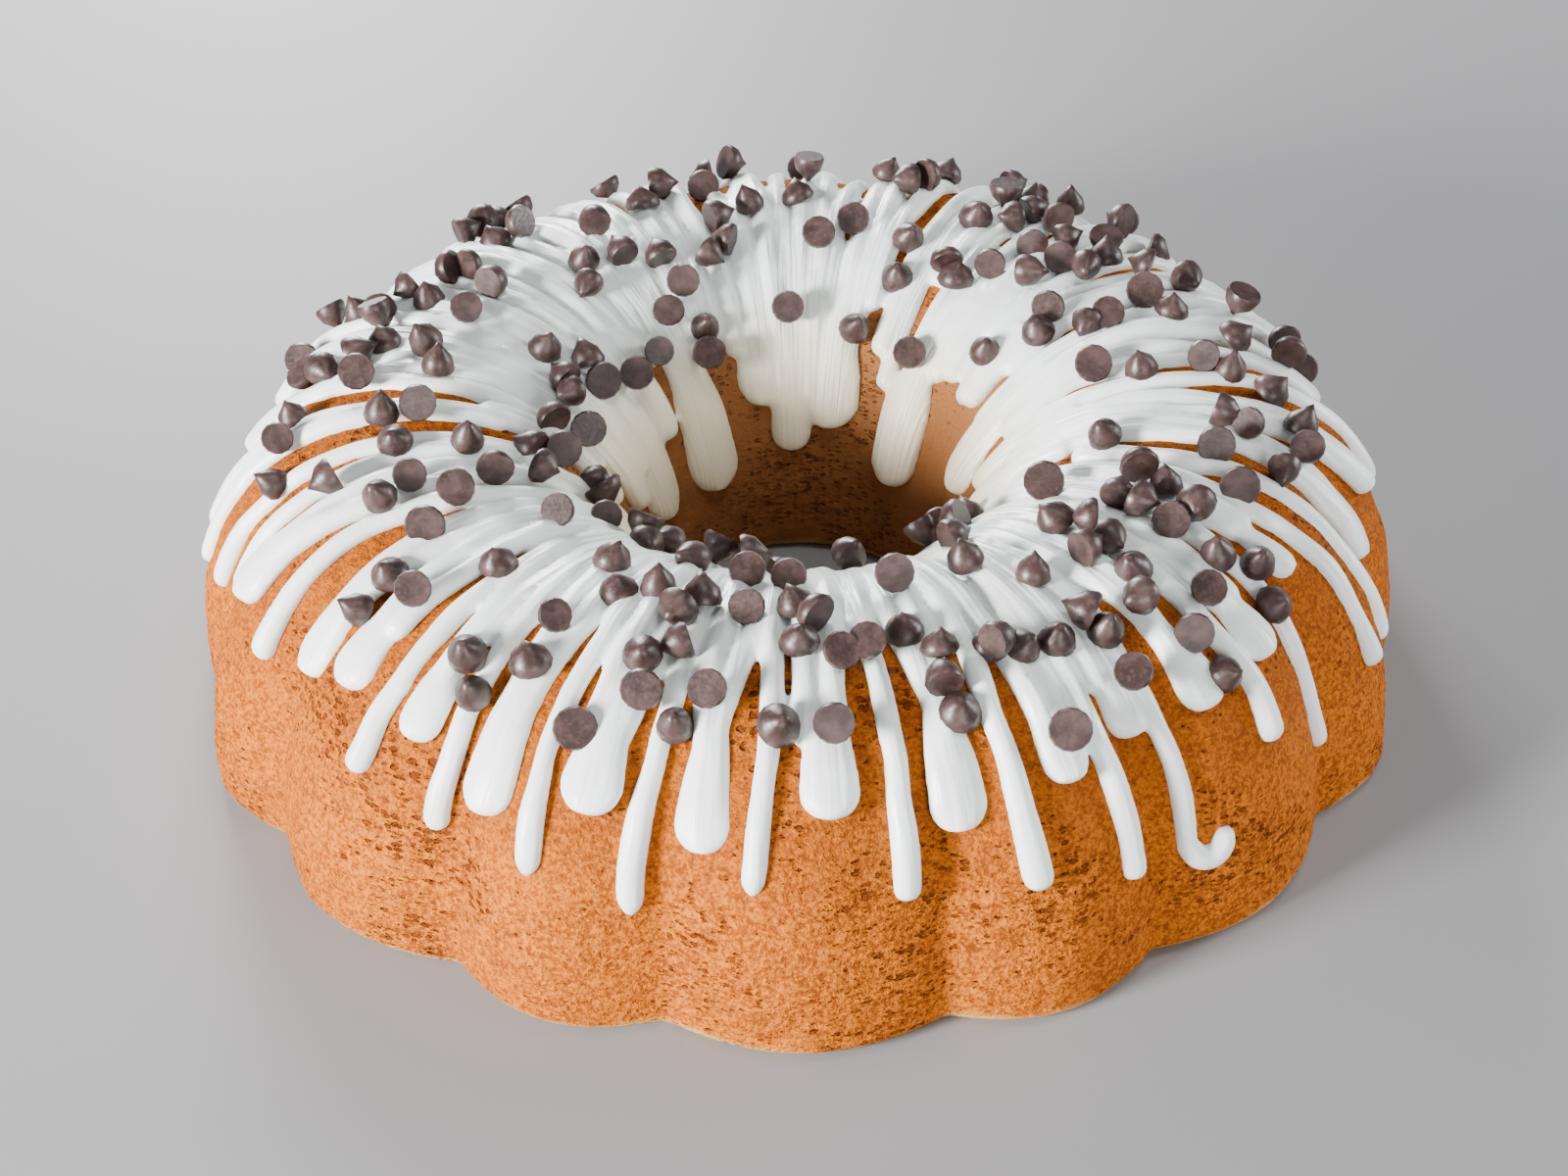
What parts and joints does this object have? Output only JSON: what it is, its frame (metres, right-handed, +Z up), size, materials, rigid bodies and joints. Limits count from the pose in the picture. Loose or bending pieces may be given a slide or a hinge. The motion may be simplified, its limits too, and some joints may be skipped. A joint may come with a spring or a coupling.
{
  "type": "bundt cake",
  "caption": "Round fluted ring cake of golden sponge, with thick white icing strands piped over the crown and chocolate chips scattered on top.",
  "frame": {"origin": "middle of the flat underside, on the axis of the hole", "axes": "+Z up along the axis of the hole, -Y towards the side that the picture shows, +X to its right"},
  "size_m": [0.25, 0.25, 0.0671],
  "materials": {
    "sponge": "matt baked crust with fine pores",
    "icing": "satin sugar icing",
    "chocolate": "matt chocolate with a pale bloom"
  },
  "bodies": {
    "root": {"bundt_cake": "sponge"}
  },
  "joints": []
}
